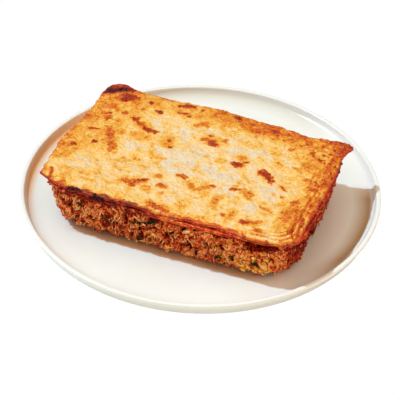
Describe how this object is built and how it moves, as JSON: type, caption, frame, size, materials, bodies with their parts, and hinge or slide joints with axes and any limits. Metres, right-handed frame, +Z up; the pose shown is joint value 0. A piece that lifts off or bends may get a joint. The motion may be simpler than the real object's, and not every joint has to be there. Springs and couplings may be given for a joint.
{
  "type": "plate of mexican casserole",
  "caption": "Rectangular slab of baked casserole with a crumbly filling, a tortilla sheet and a browned cheese top, on a flat round dinner plate.",
  "frame": {"origin": "centre of the plate's foot ring, on the table", "axes": "+Z up through the plate, -Y towards the viewer of the picture, +X to the viewer's right"},
  "size_m": [0.26, 0.26, 0.0505],
  "materials": {
    "plate_glaze": "glossy warm white glaze",
    "filling": "moist red-brown crumb of minced meat, tortilla and pepper",
    "tortilla": "sauce-soaked sheet, slightly glossy",
    "cheese": "baked cheese, cream in the middle, golden at the edges, browned in spots"
  },
  "bodies": {
    "root": {"plate": "plate_glaze", "filling": "filling", "tortilla_layer": "tortilla", "cheese_top": "cheese"}
  },
  "joints": []
}
